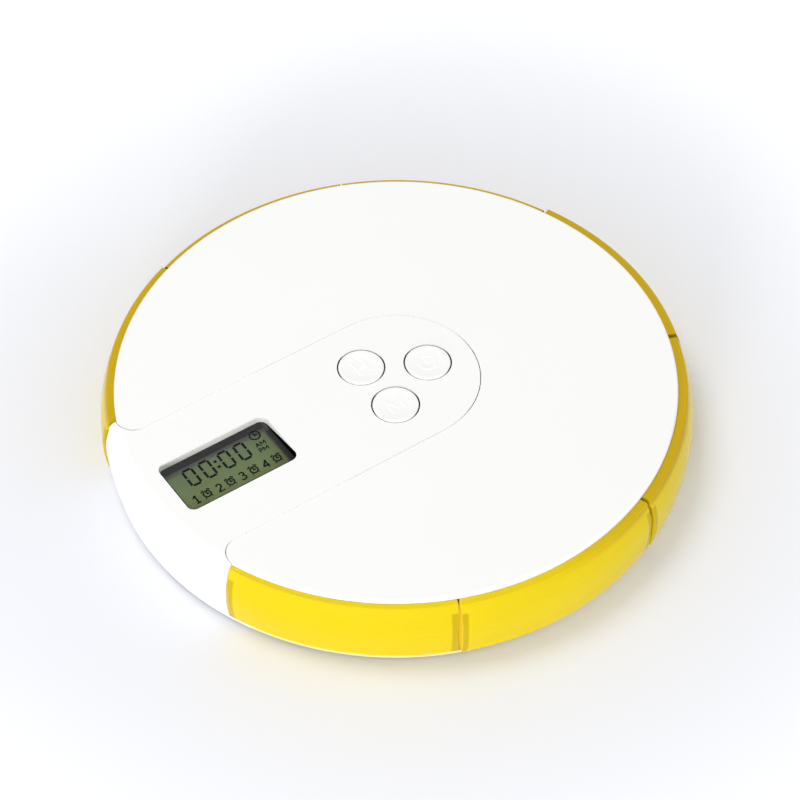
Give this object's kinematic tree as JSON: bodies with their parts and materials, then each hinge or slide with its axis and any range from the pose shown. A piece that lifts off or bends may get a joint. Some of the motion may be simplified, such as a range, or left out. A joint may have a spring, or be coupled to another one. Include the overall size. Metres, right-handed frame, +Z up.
{
  "type": "pill box with alarm clock",
  "caption": "Flat round pill box with wedge trays that slide out from under a cover, and a reminder clock with a display and push buttons.",
  "frame": {"origin": "on the floor plane at the centre of the disc, under the rubber feet", "axes": "+Z up, +X from the display towards the buttons, +Y towards the top of the display"},
  "size_m": [0.1119, 0.1117, 0.0157],
  "materials": {
    "white_plastic": "satin",
    "yellow_plastic": "translucent, gloss",
    "clear_film": "clear",
    "display_glass": "grey-green, low gloss",
    "black_rubber": "matt",
    "strip_rubber": "matt",
    "board_laminate": "solder mask",
    "black_resin": "cast",
    "bright_steel": "bright",
    "screw_steel": "plated",
    "contact_brass": "spring brass",
    "ceramic": "matt"
  },
  "bodies": {
    "case": {"base_plate": "white_plastic", "core_frame": "white_plastic", "top_cover": "white_plastic", "control_panel": "white_plastic", "lcd_lens": "clear_film", "lcd_cell": "display_glass", "zebra_strips": "strip_rubber", "circuit_board": "board_laminate", "chip_cover": "black_resin", "crystal": "bright_steel", "small_parts": "ceramic", "switch_domes": "bright_steel", "buzzer": "black_resin", "coin_cell": "bright_steel", "contact_top": "contact_brass", "contact_side": "contact_brass", "case_screws": "screw_steel", "board_screws": "screw_steel", "rubber_feet": "black_rubber"},
    "tray_1": {"pill_tray_1": "yellow_plastic"},
    "tray_2": {"pill_tray_2": "yellow_plastic"},
    "tray_3": {"pill_tray_3": "yellow_plastic"},
    "tray_4": {"pill_tray_4": "yellow_plastic"},
    "tray_5": {"pill_tray_5": "yellow_plastic"},
    "tray_6": {"pill_tray_6": "yellow_plastic"},
    "tray_7": {"pill_tray_7": "yellow_plastic"},
    "hour_key": {"button_hour": "white_plastic"},
    "minute_key": {"button_minute": "white_plastic"},
    "clock_key": {"button_clock": "white_plastic"},
    "door": {"battery_door": "white_plastic"}
  },
  "joints": [
    {"name": "tray_1_slide", "type": "slide", "parent": "case", "child": "tray_1", "axis": [-0.7071, -0.7071, 0], "range_m": [-0.0002, 0.0183]},
    {"name": "tray_2_slide", "type": "slide", "parent": "case", "child": "tray_2", "axis": [0, -1, 0], "range_m": [-0.0006, 0.0254]},
    {"name": "tray_3_slide", "type": "slide", "parent": "case", "child": "tray_3", "axis": [0.7071, -0.7071, 0], "range_m": [-0.0008, 0.0252]},
    {"name": "tray_4_slide", "type": "slide", "parent": "case", "child": "tray_4", "axis": [1, 0, 0], "range_m": [-0.0009, 0.0251]},
    {"name": "tray_5_slide", "type": "slide", "parent": "case", "child": "tray_5", "axis": [0.7071, 0.7071, 0], "range_m": [-0.0001, 0.0259]},
    {"name": "tray_6_slide", "type": "slide", "parent": "case", "child": "tray_6", "axis": [0, 1, 0], "range_m": [-0.0001, 0.0259]},
    {"name": "tray_7_slide", "type": "slide", "parent": "case", "child": "tray_7", "axis": [-0.7071, 0.7071, 0], "range_m": [-0.0005, 0.018]},
    {"name": "hour_press", "type": "slide", "parent": "case", "child": "hour_key", "axis": [0, 0, -1], "range_m": [0, 0.0006], "stiffness_N_per_m": 1500},
    {"name": "minute_press", "type": "slide", "parent": "case", "child": "minute_key", "axis": [0, 0, -1], "range_m": [0, 0.0006], "stiffness_N_per_m": 1500},
    {"name": "clock_press", "type": "slide", "parent": "case", "child": "clock_key", "axis": [0, 0, -1], "range_m": [0, 0.0006], "stiffness_N_per_m": 1500},
    {"name": "door_turn", "type": "hinge", "parent": "case", "child": "door", "pos_m": [-0.017, 0, 0], "axis": [0, 0, 1], "range_deg": [0, 40]}
  ]
}
